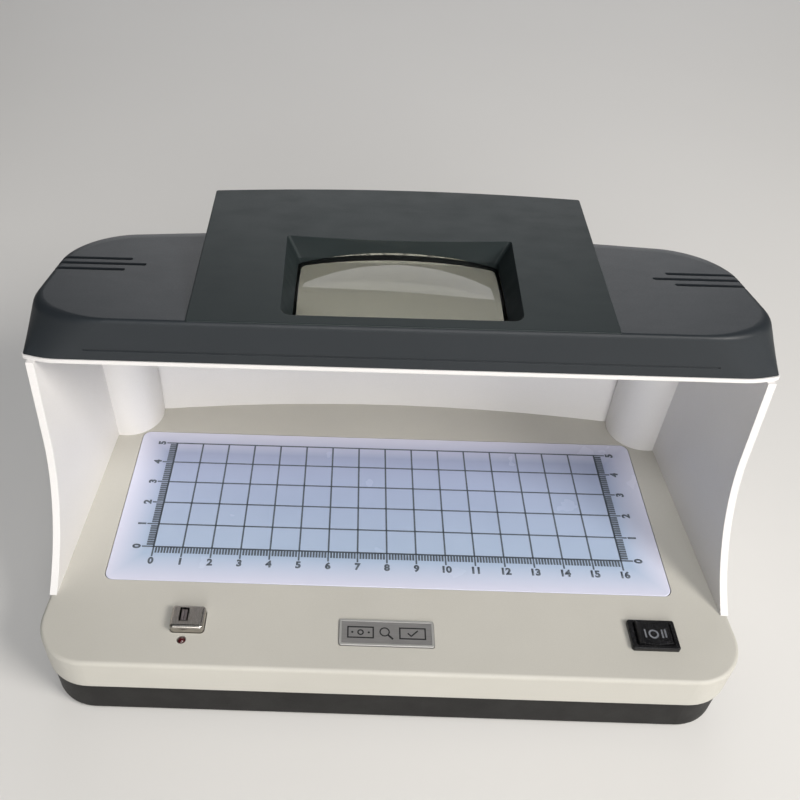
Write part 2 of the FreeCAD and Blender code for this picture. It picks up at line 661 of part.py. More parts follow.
def make_uv_tube_caps():
    caps = []
    for side in (-1, 1):
        inner = vec(side * (TUBE_HALF - CAP_L - 2.5), TUBE_Y, TUBE_Z)
        outer = vec(side * (TUBE_HALF - 2.5), TUBE_Y, TUBE_Z)
        cap = rod(TUBE_R + 0.15, inner, outer)
        pins = [rod(1.1, outer + vec(-side, 0, z), outer + vec(side * 6.0, 0, z)) for z in (-2.375, 2.375)]
        caps.append(fuse([cap] + pins))
    return Part.makeCompound(caps)


def make_lamp_holders():
    """A block at each end of the tube, with a slot up which its pins are pushed."""
    holders = []
    for side in (-1, 1):
        block_x = sorted((side * (TUBE_HALF - 2.3), side * (TUBE_HALF + 6.0)))
        slot_x = sorted((side * (TUBE_HALF - 5.1), side * (TUBE_HALF + 4.2)))
        block = box(*block_x, TUBE_Y - 7.0, TUBE_Y + 7.0, TUBE_Z - 9.0, 101.5)
        slot = box(*slot_x, TUBE_Y - 1.25, TUBE_Y + 1.25, TUBE_Z - 12, TUBE_Z + 3.7)
        holders.append(cut(block, [slot]))
    return Part.makeCompound(holders)


def make_uv_reflector():
    """A folded aluminium trough over the tube."""
    reach = TUBE_HALF - 3.0
    half_foot = 8.8
    half_top = 6.0
    skin = 0.5
    profile = [(-half_foot, 3.5), (-half_top, 9.6), (half_top, 9.6), (half_foot, 3.5),
               (half_foot - skin, 3.5), (half_top - skin, 9.6 - skin), (skin - half_top, 9.6 - skin),
               (skin - half_foot, 3.5)]
    points = [vec(-reach, TUBE_Y + y, TUBE_Z + z) for y, z in profile]
    return Part.Face(Part.makePolygon(points + points[:1])).extrude(vec(2 * reach, 0, 0))


def make_lamp_leads():
    """Two wires from the base, up inside the left pillar and over the ceiling to the lamp holder."""
    leads = []
    for shift in (-0.75, 0.75):
        x = LEAD_X + shift
        bend = vec(x, LEAD_Y, 100.0 + shift)
        holder = vec(-TUBE_HALF - 6.0, LEAD_Y, bend.z)
        runs = [rod(0.7, vec(x, LEAD_Y, 12.0), bend), rod(0.7, bend, holder), Part.makeSphere(0.7, bend)]
        leads.append(fuse(runs))
    return Part.makeCompound(leads)


# --- electrics in the base --------------------------------------------------------------------

def make_main_board():
    board = box(-50, 50, -22, 28, 5.7, 7.3)
    return cut(board, [post(x, y, 1.05, 5, 8) for x, y in BOARD_SCREWS])


def make_board_parts():
    chips = [centred_box(-20, 6, 5.0, 2.0, 7.3, 8.9), centred_box(8, -6, 4.0, 3.3, 7.3, 9.3),
             centred_box(25, 14, 2.3, 3.3, 7.3, 9.6), centred_box(34, 14, 2.3, 3.3, 7.3, 9.6)]
    cans = [rod(2.1, vec(x, -16, 9.4), vec(x, -6, 9.4)) for x in (-38.0, -31.0, 36.0)]
    plugs = [centred_box(x, 22, 5.0, 2.4, 7.3, 11.3) for x in (-30.0, -12.0, 14.0)]
    return Part.makeCompound(chips + cans + plugs)


def make_board_screws():
    return Part.makeCompound([fuse([post(x, y, 2.0, 7.3, 8.7), post(x, y, 0.95, 4.2, 7.4)])
                              for x, y in BOARD_SCREWS])


def make_transformer_core():
    body = box(24, 54, -57.0, -36.0, 4.0, 24.0)
    windows = [box(28.5, 33.5, -60, -30, 8.5, 19.5), box(44.5, 49.5, -60, -30, 8.5, 19.5)]
    return cut(body, windows)


def make_transformer_coil():
    coil = box(28.7, 49.3, -58.8, -34.2, 8.7, 19.3)
    core_leg = box(33.4, 44.6, -57.05, -35.95, 8.0, 20.0)
    return cut(soften(coil, 1.0, lambda b: b.ZLength > 5), [core_leg])


def make_lamp_inverter():
    board = box(-40, 12, -57, -37, 5.0, 6.6)
    parts = [centred_box(-30, -47, 4.5, 4.5, 6.6, 16.0), centred_box(-14, -47, 6.0, 5.0, 6.6, 14.5),
             centred_box(3, -47, 3.0, 6.0, 6.6, 12.0)]
    legs = [post(x, y, 2.0, FOOT_H + FLOOR, 5.0) for x in (-37.0, 9.0) for y in (-54.0, -40.0)]
    return fuse([board] + parts + legs)


def make_buzzer():
    can = soften(post(-97, -38, 6.0, FOOT_H + FLOOR, FOOT_H + FLOOR + 8.5), 0.5,
                 lambda b: b.ZMin > FOOT_H + FLOOR + 8)
    return cut(can, [post(-97, -38, 1.2, 9, 14)])


def make_inlet_socket():
    """A two-pole figure-8 inlet, its mouth to the back."""
    flange = box(-11.0, 11.0, INLET_Y + 0.02, INLET_Y + 1.6, INLET_Z - 6.2, INLET_Z + 6.2)
    flange = soften(flange, 0.7, lambda b: b.YMin > INLET_Y + 1.5)
    body = box(-9.2, 9.2, INLET_Y - 16.0, INLET_Y + 1.0, INLET_Z - 5.2, INLET_Z + 5.2)
    mouth_y = INLET_Y + 3.0
    depth = vec(0, -14.6, 0)
    lobes = [rod(4.1, vec(x, mouth_y, INLET_Z), vec(x, mouth_y, INLET_Z) + depth) for x in (-4.0, 4.0)]
    waist = box(-3.6, 3.6, mouth_y - 14.6, mouth_y, INLET_Z - 3.2, INLET_Z + 3.2)
    return cut(fuse([flange, body]), lobes + [waist])


def make_inlet_pins():
    pins = []
    for x in (-4.3, 4.3):
        pin = rod(1.2, vec(x, INLET_Y - 11.6, INLET_Z), vec(x, INLET_Y - 1.2, INLET_Z))
        pins.append(soften(pin, 0.5, lambda b: b.YMin > INLET_Y - 1.3))
    return Part.makeCompound(pins)


def make_inlet_tags():
    return Part.makeCompound([box(x - 1.2, x + 1.2, INLET_Y - 22.0, INLET_Y - 16.0,
                                  INLET_Z - 0.4, INLET_Z + 0.4) for x in (-4.3, 4.3)])


NODES = {
    "base_tray": make_base_tray, "rubber_feet": make_rubber_feet, "case_screws": make_case_screws,
    "deck_cover": make_deck_cover, "light_panel": make_light_panel, "light_box": make_light_box,
    "led_strips": make_led_strips, "white_leds": make_white_leds, "badge_plate": make_badge,
    "magnetic_head_case": make_head_case, "magnetic_head_core": make_head_core,
    "head_bracket": make_head_bracket, "head_board": make_head_board, "alarm_led": make_head_led,
    "rocker_housing": make_rocker_housing, "rocker_button": make_rocker_button,
    "rocker_terminals": make_rocker_terminals, "hood_shell": make_hood_shell,
    "roof_cover": make_roof_cover, "roof_screws": make_roof_screws,
    "magnifier_housing": make_magnifier_housing, "magnifier_lens": make_magnifier_lens,
    "lens_retainer": make_lens_retainer, "retainer_screws": make_retainer_screws,
    "uv_tube": make_uv_tube, "uv_tube_caps": make_uv_tube_caps, "lamp_holders": make_lamp_holders,
    "uv_reflector": make_uv_reflector, "lamp_leads": make_lamp_leads, "main_board": make_main_board,
    "board_parts": make_board_parts, "board_screws": make_board_screws,
    "transformer_core": make_transformer_core, "transformer_coil": make_transformer_coil,
    "lamp_inverter": make_lamp_inverter, "buzzer": make_buzzer, "inlet_socket": make_inlet_socket,
    "inlet_pins": make_inlet_pins, "inlet_tags": make_inlet_tags,
}


def main():
    os.makedirs("parts", exist_ok=True)
    for name, make in NODES.items():
        shape = make()
        shape.exportStep("parts/" + name + ".step")
        print(name, len(shape.Solids), "solids", "valid" if shape.isValid() else "NOT VALID",
              round(shape.Volume), "mm3")


main()
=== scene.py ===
import math
import bmesh
import bpy
from mathutils import Matrix, Vector
from mathutils.bvhtree import BVHTree


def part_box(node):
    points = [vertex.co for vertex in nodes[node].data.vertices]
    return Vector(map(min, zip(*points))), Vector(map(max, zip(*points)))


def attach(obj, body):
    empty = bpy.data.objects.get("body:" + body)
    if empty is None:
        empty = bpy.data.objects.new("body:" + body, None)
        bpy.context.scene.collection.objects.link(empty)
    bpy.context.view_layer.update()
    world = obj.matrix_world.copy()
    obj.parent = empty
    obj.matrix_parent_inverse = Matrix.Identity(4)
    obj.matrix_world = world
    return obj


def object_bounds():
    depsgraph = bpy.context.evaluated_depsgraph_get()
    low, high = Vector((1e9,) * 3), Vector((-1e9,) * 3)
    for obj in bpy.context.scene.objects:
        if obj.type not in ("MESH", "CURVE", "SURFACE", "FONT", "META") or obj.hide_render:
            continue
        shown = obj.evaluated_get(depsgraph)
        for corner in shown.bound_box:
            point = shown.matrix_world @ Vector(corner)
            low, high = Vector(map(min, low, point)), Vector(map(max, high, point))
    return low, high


# A desktop banknote checker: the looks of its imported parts, and the ink printed on them. Metres.

MM = 0.001

# Camera: where it stands, how it is turned in degrees, and its lens.
CAMERA_AT = (-0.01458, -0.20287, 0.26757)
CAMERA_TILT = 47.75
CAMERA_PAN = 0.685
CAMERA_ROLL = 1.21
CAMERA_LENS = 38.97
CAMERA_SHIFT = 0.07375

# Lights: name, place, diameter, power in watts and colour. Each of them faces LIGHTS_AIM.
LIGHTS_AIM = (0.0, -0.02, 0.04)
LIGHTS = [
    ("key", (0.97, -0.64, 0.95), 0.6, 16.5, (1.0, 0.96, 0.91)),
    ("ceiling", (0.05, -0.50, 1.15), 0.3, 3.2, (0.97, 0.98, 1.0)),
    ("front_wall", (0.1, -1.3, 0.6), 0.9, 11.0, (1.0, 0.985, 0.97)),
    ("far_wall", (0.15, 2.2, 0.55), 2.4, 22.0, (0.98, 0.98, 1.0)),
]
ROOM_COLOUR = (0.86, 0.9, 0.95, 1.0)
ROOM_STRENGTH = 0.06
FLOOR_RADIUS = 4.0

# The ruler print on the light panel.
CELL = 10 * MM
CELLS_X = 16
CELLS_Y = 5
GRID_LEFT = -80 * MM
GRID_FRONT = -18.3 * MM
LINE_W = 0.58 * MM
FINE_TICK_W = 0.68 * MM
SIDE_TICK_W = 0.8 * MM
FINE_TICK_L = 2.6 * MM
CM_TICK_L = 4.1 * MM
DIGIT_H = 2.9 * MM
DIGIT_GAP = 5.9 * MM
DIGIT_FATTER = 0.05
DIGIT_CURVE_STEPS = 4
SIDE_DIGIT_TURN = 90

# The badge's pictogram: a note and a ticked note, with a lens on a handle between them. Places are given
# from the middle of the badge, and those on a note from the middle of that note.
NOTE_X = 8.2 * MM
NOTE_HALF_X = 4.0 * MM
NOTE_HALF_Y = 1.9 * MM
NOTE_LINE = 0.46 * MM
NOTE_RING_R = 1.05 * MM
NOTE_SPOT_X = 2.6 * MM
NOTE_SPOT_R = 0.36 * MM
LENS_X = -0.6 * MM
LENS_Y = 0.35 * MM
LENS_R = 1.65 * MM
LENS_LINE = 0.42 * MM
HANDLE_ENDS = ((0.55 * MM, -0.8 * MM), (2.0 * MM, -2.2 * MM))
HANDLE_LINE = 0.62 * MM
TICK_DOWN_ENDS = ((-1.5 * MM, 0.1 * MM), (-0.4 * MM, -1.0 * MM))
TICK_UP_ENDS = ((-0.5 * MM, -1.0 * MM), (1.7 * MM, 1.1 * MM))
TICK_LINE = 0.45 * MM

# The rocker's marks, from the middle of the button: the stroke of I, the ring of O, the strokes of II.
ONE_X = -2.65 * MM
ZERO_R = 1.6 * MM
ZERO_LINE = 0.55 * MM
TWO_XS = (2.65 * MM, 3.6 * MM)
STROKE_HALF = 1.5 * MM
STROKE_LINE = 0.5 * MM

# Printed ink: its height above the face and its depth into it, and how finely its shapes are cut.
INK_T = 0.03 * MM
INK_SINK = 0.01 * MM
RING_STEPS = 40
DISC_STEPS = 20
STROKE_STEPS = 6

# Shader nodes: a Mix node's colour sockets, and the range that most of a noise texture's values lie in.
MIX_FIRST = 6
MIX_SECOND = 7
MIX_RESULT = 2
NOISE_LOW = 0.3
NOISE_HIGH = 0.7

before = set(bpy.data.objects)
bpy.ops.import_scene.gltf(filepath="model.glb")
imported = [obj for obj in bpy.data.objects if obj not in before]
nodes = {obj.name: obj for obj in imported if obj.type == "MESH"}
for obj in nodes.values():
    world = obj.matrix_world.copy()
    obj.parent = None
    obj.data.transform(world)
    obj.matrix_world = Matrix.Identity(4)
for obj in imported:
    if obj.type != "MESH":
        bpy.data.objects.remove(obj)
CAD_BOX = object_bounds()


# --- camera and lights ------------------------------------------------------------------------

def add_camera():
    data = bpy.data.cameras.new("camera")
    data.lens = CAMERA_LENS
    data.shift_x = CAMERA_SHIFT
    data.clip_start = 0.01
    camera = bpy.data.objects.new("camera", data)
    turn = Matrix.Rotation(math.radians(CAMERA_PAN), 4, "Z")
    turn = turn @ Matrix.Rotation(math.radians(CAMERA_TILT), 4, "X")
    turn = turn @ Matrix.Rotation(math.radians(CAMERA_ROLL), 4, "Z")
    camera.matrix_world = Matrix.Translation(CAMERA_AT) @ turn
    bpy.context.scene.collection.objects.link(camera)
    bpy.context.scene.camera = camera


def add_area_light(name, place, size, power, colour):
    data = bpy.data.lights.new(name, "AREA")
    data.shape = "DISK"
    data.size = size
    data.energy = power
    data.color = colour
    light = bpy.data.objects.new(name, data)
    aim = (Vector(LIGHTS_AIM) - Vector(place)).to_track_quat("-Z", "Y")
    light.matrix_world = Matrix.Translation(place) @ aim.to_matrix().to_4x4()
    bpy.context.scene.collection.objects.link(light)


def add_lights():
    for light in LIGHTS:
        add_area_light(*light)
    world = bpy.data.worlds.new("room")
    world.use_nodes = True
    background = world.node_tree.nodes["Background"]
    background.inputs["Color"].default_value = ROOM_COLOUR
    background.inputs["Strength"].default_value = ROOM_STRENGTH
    bpy.context.scene.world = world
    bpy.context.scene.view_settings.view_transform = "Standard"


# --- node materials ---------------------------------------------------------------------------

class Shader:
    """A material's node tree, with short calls for the nodes that the finishes are made of."""

    def __init__(self, name, **sockets):
        self.material = bpy.data.materials.new(name)
        self.material.use_nodes = True
        self.tree = self.material.node_tree
        self.surface = self.tree.nodes["Principled BSDF"]
        for socket, value in sockets.items():
            self.surface.inputs[socket.replace("_", " ")].default_value = value

    def add(self, kind, **settings):
        node = self.tree.nodes.new("ShaderNode" + kind)
        for key, value in settings.items():
            setattr(node, key, value)
        return node

    def feed(self, socket, value):
        """Set an input from another node's output or from a plain value."""
        if isinstance(value, bpy.types.NodeSocket):
            self.tree.links.new(value, socket)
        elif hasattr(value, "__len__") and len(value) == 3 and len(socket.default_value) == 4:
            socket.default_value = (*value, 1.0)
        else:
            socket.default_value = value

    def drive(self, socket, value):
        self.feed(self.surface.inputs[socket], value)

    def place(self, stretch=(1.0, 1.0, 1.0)):
        """The point in the object's own frame, in metres, squeezed along each axis by stretch."""
        coordinates = self.add("TexCoord").outputs["Object"]
        mapping = self.add("Mapping")
        self.feed(mapping.inputs["Vector"], coordinates)
        mapping.inputs["Scale"].default_value = stretch
        return mapping.outputs["Vector"]

    def axis(self, letter):
        split = self.add("SeparateXYZ")
        self.feed(split.inputs["Vector"], self.add("TexCoord").outputs["Object"])
        return split.outputs[letter]

    def noise(self, size, detail=2.0, stretch=(1.0, 1.0, 1.0)):
        """Noise whose features are about size metres across."""
        node = self.add("TexNoise")
        self.feed(node.inputs["Vector"], self.place(stretch))
        node.inputs["Scale"].default_value = 1.0 / size
        node.inputs["Detail"].default_value = detail
        return node.outputs["Fac"]

    def cell_walls(self, size):
        """The distance to the nearest wall between cells about size metres across, as a share of size."""
        node = self.add("TexVoronoi", feature="DISTANCE_TO_EDGE")
        self.feed(node.inputs["Vector"], self.place())
        node.inputs["Scale"].default_value = 1.0 / size
        return node.outputs["Distance"]

    def span(self, value, low, high, to_low=0.0, to_high=1.0):
        """Stretch the range low to high over to_low to to_high, and hold it there beyond."""
        node = self.add("MapRange")
        self.feed(node.inputs["Value"], value)
        for key, number in (("From Min", low), ("From Max", high), ("To Min", to_low), ("To Max", to_high)):
            node.inputs[key].default_value = number
        return node.outputs["Result"]

    def spread(self, noise, to_low=0.0, to_high=1.0):
        """A noise texture's usual range, stretched over to_low to to_high."""
        return self.span(noise, NOISE_LOW, NOISE_HIGH, to_low, to_high)

    def maths(self, operation, first, second=0.0):
        """One sum on two values; ABSOLUTE uses only the first."""
        node = self.add("Math", operation=operation)
        self.feed(node.inputs[0], first)
        self.feed(node.inputs[1], second)
        return node.outputs["Value"]

    def mix(self, share, first, second):
        node = self.add("Mix", data_type="RGBA")
        self.feed(node.inputs["Factor"], share)
        self.feed(node.inputs[MIX_FIRST], first)
        self.feed(node.inputs[MIX_SECOND], second)
        return node.outputs[MIX_RESULT]

    def bump(self, height, relief, normal=None):
        """Raise the surface by up to relief metres where height is 1."""
        node = self.add("Bump")
        self.feed(node.inputs["Height"], height)
        node.inputs["Distance"].default_value = relief
        node.inputs["Strength"].default_value = 1.0
        if normal is not None:
            self.feed(node.inputs["Normal"], normal)
        return node.outputs["Normal"]

    def rounded(self, radius):
        """Normals that turn softly over an edge, as a moulded or filed edge does."""
        node = self.add("Bevel", samples=4)
        node.inputs["Radius"].default_value = radius
        return node.outputs["Normal"]


def shade(colour, factor):
    return tuple(min(1.0, part * factor) for part in colour)


def moulded_plastic(name, colour, rough, grain=0.35 * MM, relief=0.006 * MM, patchy=0.05, specular=0.5,
                    marked=0.05):
    """Injection-moulded ABS: spark-eroded grain, faint flow patches, handling marks in the gloss.

    The grain is so many metres across and relief deep. The flow patches change the colour by the share
    patchy, and the handling marks change the roughness by marked.
    """
    s = Shader(name, Specular_IOR_Level=specular)
    broad = s.noise(40 * MM, 3.0)
    fine = s.noise(grain, 2.0)
    marks = s.noise(9 * MM, 4.0, (1.0, 2.2, 1.0))
    tone = s.mix(s.span(broad, 0.35, 0.65), shade(colour, 1 - patchy), shade(colour, 1 + patchy))
    speck = s.spread(fine, 0.0, 0.10)
    s.drive("Base Color", s.mix(speck, tone, shade(colour, 0.6)))
    worn = s.span(marks, 0.35, 0.7, rough - marked, rough + marked)
    s.drive("Roughness", s.maths("ADD", worn, s.spread(fine, -0.04, 0.04)))
    s.drive("Normal", s.bump(fine, relief, s.rounded(0.25 * MM)))
    return s.material


def opal_panel():
    """Milky acrylic: cool in front, with painted shade that darkens it towards the back, where it also
    turns lilac, and a painted glow that whitens its rim; its faint emission is a painted glow as well.
    """
    low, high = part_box("light_panel")
    centre = (low + high) / 2
    half = (high - low) / 2
    # The faint emission is a painted glow.
    s = Shader("opal_panel", IOR=1.49, Coat_Weight=0.25, Coat_Roughness=0.08, Emission_Strength=0.02)
    across = s.maths("ABSOLUTE", s.maths("SUBTRACT", s.axis("X"), centre.x))
    along = s.maths("ABSOLUTE", s.maths("SUBTRACT", s.axis("Y"), centre.y))
    from_side = s.maths("SUBTRACT", half.x, across)
    from_end = s.maths("SUBTRACT", half.y, along)
    # Painted glow: within 11 mm of its edges the panel is made whiter and its emission more lilac.
    rim = s.span(s.maths("MINIMUM", from_side, from_end), 0.4 * MM, 11 * MM, 1.0, 0.0)
    cloud = s.noise(30 * MM, 2.0)
    near = s.mix(s.spread(cloud), (0.40, 0.51, 0.66), (0.43, 0.54, 0.69))
    # Painted shade: the colour darkens towards the back, where it also turns lilac.
    body = s.mix(s.span(s.axis("Y"), low.y, high.y), near, (0.31, 0.34, 0.50))
    s.drive("Base Color", s.mix(rim, body, (0.66, 0.67, 0.80)))
    s.drive("Emission Color", s.mix(rim, (0.42, 0.52, 0.72), (0.62, 0.58, 0.86)))
    s.drive("Roughness", s.spread(s.noise(14 * MM, 3.0), 0.18, 0.28))
    return s.material


def clear_lens():
    """Polished acrylic with a trace of fingerprints; its grey-beige base colour is painted shade, darkening
    the hollow seen through it.
    """
    # Painted shade: the lens is tinted grey-beige so that the hollow behind it looks darker.
    s = Shader("clear_lens", Base_Color=(0.47, 0.47, 0.395, 1.0), IOR=1.49, Transmission_Weight=1.0)
    smear = s.noise(6 * MM, 3.0, (1.0, 0.35, 1.0))
    s.drive("Roughness", s.span(smear, 0.5, 0.85, 0.0, 0.05))
    return s.material


def lamp_glass():
    """The dark violet glass of an ultraviolet tube, with a fine phosphor bloom."""
    s = Shader("lamp_glass", Coat_Weight=0.6, Coat_Roughness=0.03)
    bloom = s.noise(5 * MM, 3.0, (0.3, 1.0, 1.0))
    s.drive("Base Color", s.mix(s.spread(bloom), (0.16, 0.13, 0.34), (0.23, 0.20, 0.42)))
    s.drive("Roughness", s.spread(bloom, 0.10, 0.2))
    return s.material


def brushed_metal(name, colour, rough, along, streak=0.12 * MM):
    """Plated or drawn metal with fine streaks, streak metres wide, along the X or the Y axis."""
    squeeze = {"X": (0.04, 1.0, 1.0), "Y": (1.0, 0.04, 1.0)}[along]
    s = Shader(name, Metallic=1.0)
    streaks = s.noise(streak, 3.0, squeeze)
    dull = s.noise(4 * MM, 3.0)
    tone = s.mix(s.spread(streaks), shade(colour, 0.86), colour)
    s.drive("Base Color", s.mix(s.span(dull, 0.45, 0.75, 0.0, 0.35), tone, shade(colour, 0.7)))
    s.drive("Roughness", s.spread(streaks, rough - 0.06, rough + 0.06))
    s.drive("Normal", s.bump(streaks, 0.0015 * MM, s.rounded(0.2 * MM)))
    return s.material


def rubber():
    """Soft black rubber, porous and a little dusty."""
    s = Shader("rubber", Specular_IOR_Level=0.3)
    pores = s.noise(0.5 * MM, 3.0)
    dust = s.noise(6 * MM, 3.0)
    dusty = s.span(dust, 0.4, 0.8, 0.0, 0.5)
    s.drive("Base Color", s.mix(dusty, (0.018, 0.018, 0.019), (0.06, 0.058, 0.055)))
    s.drive("Roughness", s.spread(pores, 0.72, 0.9))
    s.drive("Normal", s.bump(pores, 0.02 * MM))
    return s.material


def laminate():
    """Green solder mask over copper tracks."""
    s = Shader("laminate")
    copper = s.span(s.cell_walls(5 * MM), 0.10, 0.13, 1.0, 0.0)
    s.drive("Base Color", s.mix(copper, (0.02, 0.13, 0.05), (0.05, 0.22, 0.08)))
    s.drive("Roughness", s.spread(s.noise(2 * MM, 2.0), 0.28, 0.42))
    s.drive("Normal", s.bump(copper, 0.035 * MM))
    return s.material


def wound_tape():
    """Yellow tape wound round the transformer's coil."""
    s = Shader("wound_tape", Roughness=0.3)
    turns = s.add("TexWave", bands_direction="Z", wave_profile="SIN")
    s.feed(turns.inputs["Vector"], s.place())
    turns.inputs["Scale"].default_value = 420.0
    turns.inputs["Distortion"].default_value = 0.6
    s.drive("Base Color", s.mix(turns.outputs["Fac"], (0.62, 0.42, 0.05), (0.78, 0.58, 0.10)))
    s.drive("Normal", s.bump(turns.outputs["Fac"], 0.06 * MM))
    return s.material


def led_red():
    """Dark red epoxy that catches a little light from inside."""
    s = Shader("led_red", Roughness=0.12, Coat_Weight=0.5, Emission_Color=(0.5, 0.01, 0.02, 1.0),
               Emission_Strength=0.01)
    s.drive("Base Color", s.mix(s.noise(0.8 * MM, 2.0), (0.030, 0.003, 0.004), (0.07, 0.006, 0.008)))
    return s.material


def led_white():
    """Yellow phosphor over a lit white chip."""
    s = Shader("led_white", Roughness=0.3, Emission_Color=(1.0, 0.97, 0.9, 1.0), Emission_Strength=1.5)
    s.drive("Base Color", s.mix(s.noise(0.6 * MM, 2.0), (0.85, 0.76, 0.38), (0.9, 0.84, 0.5)))
    return s.material


def ink(name, colour):
    """Screen-printed ink: slightly uneven in depth of colour."""
    s = Shader(name)
    wash = s.noise(1.2 * MM, 3.0)
    s.drive("Base Color", s.mix(s.spread(wash), shade(colour, 0.85), shade(colour, 1.15)))
    s.drive("Roughness", s.spread(wash, 0.42, 0.58))
    return s.material


def badge_metal():
    """Satin aluminium plate: the rim that stands above its field is painted brighter than the field, a
    painted highlight.
    """
    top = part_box("badge_plate")[1].z
    s = Shader("badge_metal", Metallic=0.55, Specular_IOR_Level=0.5)
    streaks = s.noise(0.15 * MM, 3.0, (0.03, 1.0, 1.0))
    field = s.mix(s.spread(streaks), (0.29, 0.285, 0.28), (0.35, 0.345, 0.34))
    # Painted highlight: the top of the plate's rim is given a brighter colour.
    painted_rim_highlight = s.span(s.axis("Z"), top - 0.10 * MM, top - 0.04 * MM)
    s.drive("Base Color", s.mix(painted_rim_highlight, field, (0.52, 0.52, 0.50)))
    s.drive("Roughness", s.spread(streaks, 0.36, 0.5))
    s.drive("Normal", s.bump(streaks, 0.002 * MM, s.rounded(0.15 * MM)))
    return s.material


def finishes():
    """The record's material slots and the materials that show them."""
    return {
        "roof_plastic": moulded_plastic("roof_plastic", (0.0175, 0.022, 0.0265), 0.48, relief=0.016 * MM,
                                        specular=0.38, marked=0.015),
        "slab_plastic": moulded_plastic("slab_plastic", (0.019, 0.026, 0.027), 0.42, 0.3 * MM, 0.004 * MM,
                                        patchy=0.06, specular=0.28),
        "hood_plastic": moulded_plastic("hood_plastic", (0.78, 0.765, 0.755), 0.38, 0.3 * MM, 0.003 * MM,
                                        patchy=0.015),
        "deck_plastic": moulded_plastic("deck_plastic", (0.53, 0.515, 0.465), 0.48, 0.32 * MM, 0.007 * MM,
                                        patchy=0.025),
        "tray_plastic": moulded_plastic("tray_plastic", (0.0115, 0.011, 0.0105), 0.52, relief=0.010 * MM,
                                        patchy=0.08, specular=0.22),
        "white_plastic": moulded_plastic("white_plastic", (0.82, 0.82, 0.80), 0.42, patchy=0.02),
        "switch_black": moulded_plastic("switch_black", (0.008, 0.008, 0.009), 0.26, 0.2 * MM, 0.002 * MM,
                                        specular=0.35, marked=0.02),
        "component_black": moulded_plastic("component_black", (0.02, 0.02, 0.022), 0.35, 0.2 * MM),
        "lead_sleeve": moulded_plastic("lead_sleeve", (0.45, 0.03, 0.03), 0.35, 0.5 * MM),
        "rubber_foot": rubber(),
        "panel_opal": opal_panel(),
        "lens_clear": clear_lens(),
        "lamp_glass": lamp_glass(),
        "cap_aluminium": brushed_metal("cap_aluminium", (0.78, 0.78, 0.79), 0.3, "X"),
        "head_chrome": brushed_metal("head_chrome", (0.44, 0.415, 0.38), 0.24, "Y"),
        "head_ferrite": brushed_metal("head_ferrite", (0.36, 0.32, 0.32), 0.4, "Y", 0.2 * MM),
        "zinc_steel": brushed_metal("zinc_steel", (0.62, 0.62, 0.60), 0.35, "X", 0.3 * MM),
        "core_steel": brushed_metal("core_steel", (0.25, 0.25, 0.26), 0.45, "X", 0.5 * MM),
        "contact_brass": brushed_metal("contact_brass", (0.72, 0.56, 0.28), 0.3, "Y", 0.3 * MM),
        "board_laminate": laminate(),
        "coil_tape": wound_tape(),
        "led_phosphor": led_white(),
        "led_red": led_red(),
        "badge_metal": badge_metal(),
        "print_dark": ink("print_dark", (0.085, 0.105, 0.13)),
        "print_light": ink("print_light", (0.17, 0.18, 0.20)),
    }


def dress_cad_nodes(materials):
    """Give each CAD node the finished material of the slot that it was packed with."""
    for node in nodes.values():
        for i, old in enumerate(node.data.materials):
            node.data.materials[i] = materials[old.name.split(".")[0]]


# --- printed pieces ---------------------------------------------------------------------------

def add_piece(name, mesh, material, body):
    """Put a visible piece in the scene: the body it moves with, and the record's slot for its material."""
    mesh.materials.clear()
    mesh.materials.append(material)
    piece = bpy.data.objects.new(name, mesh)
    bpy.context.scene.collection.objects.link(piece)
    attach(piece, body)


def bars_mesh(name, bars, z0, z1):
    """Flat bars of ink, each given by its corners (x0, x1, y0, y1)."""
    bm = bmesh.new()
    for x0, x1, y0, y1 in bars:
        size = Matrix.Diagonal((abs(x1 - x0), abs(y1 - y0), z1 - z0, 1.0))
        middle = Matrix.Translation(((x0 + x1) / 2, (y0 + y1) / 2, (z0 + z1) / 2))
        bmesh.ops.create_cube(bm, size=1.0, matrix=middle @ size)
    mesh = bpy.data.meshes.new(name)
    bm.to_mesh(mesh)
    bm.free()
    return mesh


def outline_text(text):
    """A number as a flat mesh, centred, with digits of height 1."""
    curve = bpy.data.curves.new("number", "FONT")
    curve.body = text
    curve.align_x = "CENTER"
    curve.offset = DIGIT_FATTER
    curve.resolution_u = DIGIT_CURVE_STEPS
    carrier = bpy.data.objects.new("number", curve)
    bpy.context.scene.collection.objects.link(carrier)
    bpy.context.view_layer.update()
    mesh = bpy.data.meshes.new_from_object(carrier)
    bpy.data.objects.remove(carrier)
    bpy.data.curves.remove(curve)
    ys = [v.co.y for v in mesh.vertices]
    mesh.transform(Matrix.Translation((0, -(min(ys) + max(ys)) / 2, 0)))
    mesh.transform(Matrix.Scale(1 / (max(ys) - min(ys)), 4))
    return mesh


def thickened(bm, depth):
    """Give the flat faces of bm a depth below them."""
    faces = list(bm.faces)
    made = bmesh.ops.extrude_face_region(bm, geom=faces)["geom"]
    lower = [g for g in made if isinstance(g, bmesh.types.BMVert)]
    bmesh.ops.translate(bm, verts=lower, vec=(0, 0, -depth))
    bmesh.ops.recalc_face_normals(bm, faces=bm.faces)


def numbers_mesh(name, numbers, z):
    """Printed numbers, each given by its text, its place and its turn in degrees."""
    bm = bmesh.new()
    for text, x, y, turn in numbers:
        mesh = outline_text(text)
        place = Matrix.Translation((x, y, z)) @ Matrix.Rotation(math.radians(turn), 4, "Z")
        mesh.transform(place @ Matrix.Scale(DIGIT_H, 4))
        bm.from_mesh(mesh)
        bpy.data.meshes.remove(mesh)
    thickened(bm, INK_T + INK_SINK)
    mesh = bpy.data.meshes.new(name)
    bm.to_mesh(mesh)
    bm.free()
    return mesh


